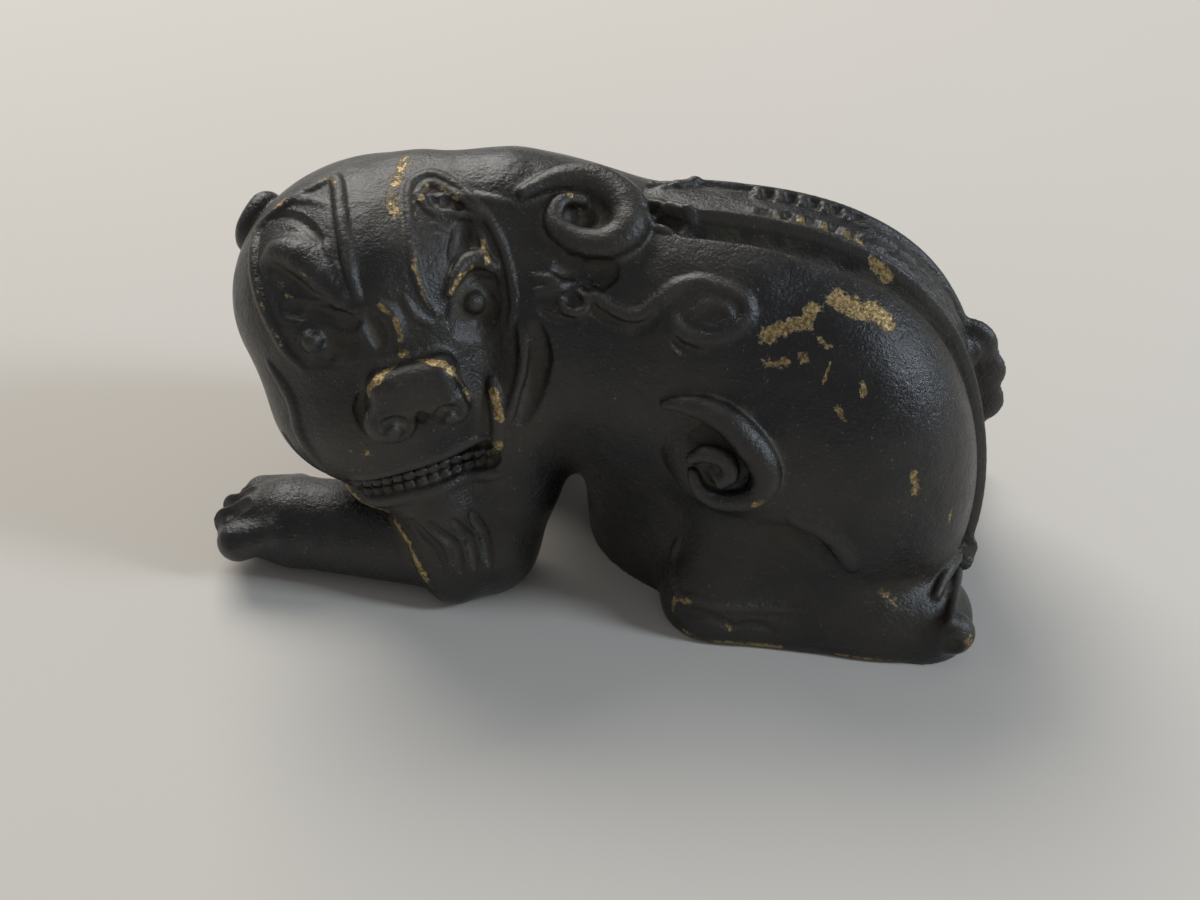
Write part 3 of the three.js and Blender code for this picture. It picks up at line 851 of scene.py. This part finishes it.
# ---------- materials ----------
class Nodes:
    """A short way to write a node tree."""

    def __init__(self, name):
        self.material = bpy.data.materials.new(name)
        self.material.use_nodes = True
        self.tree = self.material.node_tree
        self.shader = self.tree.nodes["Principled BSDF"]

    def add(self, kind, output=0, inputs=None, **settings):
        node = self.tree.nodes.new(kind)
        for key, value in settings.items():
            setattr(node, key, value)
        for key, value in (inputs or {}).items():
            self.put(node.inputs[key], value)
        return node.outputs[output]

    def put(self, socket, value):
        if isinstance(value, bpy.types.NodeSocket):
            self.tree.links.new(value, socket)
        else:
            socket.default_value = value

    def math(self, operation, a, b):
        return self.add("ShaderNodeMath", 0, {0: a, 1: b}, operation=operation)

    def ramp(self, value, low, high):
        return self.add("ShaderNodeMapRange", 0, {"Value": value, "From Min": low, "From Max": high},
                        interpolation_type="SMOOTHSTEP")

    def noise(self, vector, scale, detail=3.0, rough=0.55):
        return self.add("ShaderNodeTexNoise", 0,
                        {"Vector": vector, "Scale": scale, "Detail": detail, "Roughness": rough})

    def mix(self, share, a, b):
        node = self.tree.nodes.new("ShaderNodeMix")
        node.data_type = "RGBA"
        self.put(node.inputs[0], share)
        self.put(node.inputs[6], a)
        self.put(node.inputs[7], b)
        return node.outputs[2]

    def blend(self, share, a, b):
        node = self.tree.nodes.new("ShaderNodeMix")
        self.put(node.inputs[0], share)
        self.put(node.inputs[2], a)
        self.put(node.inputs[3], b)
        return node.outputs[0]


def patina(name, edge_wear, dust_amount):
    """Dark patina, dusty in the hollows, mottled, and rubbed through to the brass where worn."""
    n = Nodes(name)
    place = n.add("ShaderNodeTexCoord", "Object")
    brushed = n.add("ShaderNodeMapping", 0, {"Vector": place, "Rotation": (0.3, 0.5, 0.6),
                                             "Scale": (0.18, 1.0, 1.0)})
    rub = n.add("ShaderNodeAttribute", "Fac", attribute_name="rub")
    hollow = n.add("ShaderNodeAttribute", "Fac", attribute_name="hollow")
    grain = n.noise(place, 3200, 4, 0.65)
    flake = n.noise(place, 1300, 5, 0.7)
    blotch = n.noise(place, 420, 4)
    cloud = n.noise(place, 95, 3)
    strokes = n.noise(brushed, 3400, 3)
    ragged = n.math("ADD", n.math("MULTIPLY", strokes, 0.35), n.math("MULTIPLY", flake, 1.9))
    edge = n.math("MULTIPLY", hollow, -edge_wear)
    brass = n.ramp(n.math("ADD", n.math("ADD", rub, edge), n.math("SUBTRACT", ragged, 1.82)),
                   0.0, 0.3)
    pocket = n.ramp(n.math("ADD", hollow, n.math("MULTIPLY", n.math("SUBTRACT", grain, 0.5), 0.2)),
                    0.0, 0.16)
    dust = n.math("MULTIPLY", pocket, n.math("MULTIPLY", n.ramp(blotch, 0.35, 0.62), dust_amount))
    dark = n.mix(n.ramp(cloud, 0.38, 0.66), (0.0075, 0.0072, 0.0076, 1), (0.024, 0.0205, 0.015, 1))
    thin = n.math("MULTIPLY", n.ramp(n.math("SUBTRACT", n.math("MULTIPLY", blotch, 0.3), hollow),
                                     0.18, 0.42), 0.6)
    dark = n.mix(thin, dark, (0.040, 0.036, 0.031, 1))
    dirty = n.mix(dust, dark, (0.062, 0.054, 0.036, 1))
    speck = n.math("MULTIPLY", n.ramp(grain, 0.60, 0.70), n.ramp(flake, 0.45, 0.62))
    dirty = n.mix(n.math("MULTIPLY", speck, 0.75), dirty, (0.17, 0.145, 0.10, 1))
    metal = n.mix(n.ramp(grain, 0.35, 0.65), (0.14, 0.095, 0.04, 1), (0.47, 0.35, 0.17, 1))
    n.put(n.shader.inputs["Base Color"], n.mix(brass, dirty, metal))
    n.put(n.shader.inputs["Metallic"], n.math("MULTIPLY", brass, 0.85))
    rough = n.blend(n.ramp(cloud, 0.3, 0.7), 0.23, 0.38)
    rough = n.math("ADD", rough, n.math("MULTIPLY", n.ramp(blotch, 0.45, 0.7), 0.10))
    rough = n.math("ADD", rough, n.math("MULTIPLY", dust, 0.5))
    n.put(n.shader.inputs["Roughness"], n.blend(brass, rough, 0.38))
    height = n.math("ADD", n.math("MULTIPLY", grain, 0.6), n.math("MULTIPLY", strokes, 0.2))
    height = n.math("ADD", height, n.math("MULTIPLY", blotch, 1.5))
    height = n.math("SUBTRACT", height, n.math("MULTIPLY", brass, 0.25))
    bump = n.add("ShaderNodeBump", 0, {"Height": height, "Strength": 0.7, "Distance": 0.00022})
    n.put(n.shader.inputs["Normal"], bump)
    return n.material


by_slot = {
    "dark_patina": patina("dark_patina", 0.6, 0.6),
    "worn_patina": patina("worn_patina", 0.7, 0.65),
    "recess_patina": patina("recess_patina", 0.55, 0.7),
}
slots = {part["node"]: part["material_slot"] for part in frame["record"]["subparts"]}
for piece_number, piece_name in enumerate(pieces):
    make_piece(piece_name, piece_number, by_slot[slots[piece_name]])


# ---------- stage ----------
def build_stage():
    paper = Nodes("paper")
    place = paper.add("ShaderNodeTexCoord", "Object")
    tint = paper.mix(paper.noise(place, 6, 3), (0.55, 0.52, 0.475, 1), (0.59, 0.56, 0.515, 1))
    paper.put(paper.shader.inputs["Base Color"], tint)
    paper.shader.inputs["Roughness"].default_value = 0.9
    across = PAPER_ROWS + 1
    spots = [((i / PAPER_ROWS - 0.5) * PAPER_SIZE, (j / PAPER_ROWS - 0.4) * PAPER_SIZE, 0.0)
             for j in range(across) for i in range(across)]
    faces = [(j * across + i, j * across + i + 1, (j + 1) * across + i + 1, (j + 1) * across + i)
             for j in range(PAPER_ROWS) for i in range(PAPER_ROWS)]
    mesh = bpy.data.meshes.new("paper")
    mesh.from_pydata(spots, [], faces)
    floor = bpy.data.objects.new("paper", mesh)
    mesh.materials.append(paper.material)
    bpy.context.scene.collection.objects.link(floor)


def add_light(name, at, target, size, power, color):
    data = bpy.data.lights.new(name, "AREA")
    data.shape = "RECTANGLE"
    data.size, data.size_y = size
    data.energy = power
    data.color = color
    lamp = bpy.data.objects.new(name, data)
    lamp.location = at
    lamp.rotation_mode = "QUATERNION"
    lamp.rotation_quaternion = (Vector(target) - Vector(at)).to_track_quat("-Z", "Y")
    bpy.context.scene.collection.objects.link(lamp)


def build_lights():
    world = bpy.data.worlds.new("room")
    world.use_nodes = True
    world.node_tree.nodes["Background"].inputs[0].default_value = (0.88, 0.89, 0.91, 1)
    world.node_tree.nodes["Background"].inputs[1].default_value = 0.29
    bpy.context.scene.world = world
    middle = (0, 0, 0.02)
    add_light("window", (-0.32, 0.42, 0.55), middle, (0.52, 0.40), 5.0, (1.0, 0.97, 0.92))
    add_light("side_window", (0.55, -0.05, 0.34), middle, (0.10, 0.24), 2.2, (0.76, 0.87, 1.0))


def build_camera():
    elevation, azimuth = math.radians(CAMERA_ELEVATION), math.radians(CAMERA_AZIMUTH)
    back = Vector((
        math.sin(azimuth) * math.cos(elevation),
        -math.cos(azimuth) * math.cos(elevation),
        math.sin(elevation),
    ))
    target = Vector(CAMERA_TARGET) + Vector(SHIFT)
    data = bpy.data.cameras.new("camera")
    data.sensor_width = SENSOR
    data.lens = LENS
    data.clip_start = 0.005
    camera = bpy.data.objects.new("camera", data)
    camera.location = (target + back * CAMERA_DISTANCE) * MM
    camera.rotation_mode = "QUATERNION"
    camera.rotation_quaternion = (-back).to_track_quat("-Z", "Y")
    bpy.context.scene.collection.objects.link(camera)
    bpy.context.scene.camera = camera


build_stage()
build_lights()
build_camera()
bpy.context.scene.view_settings.view_transform = "Standard"
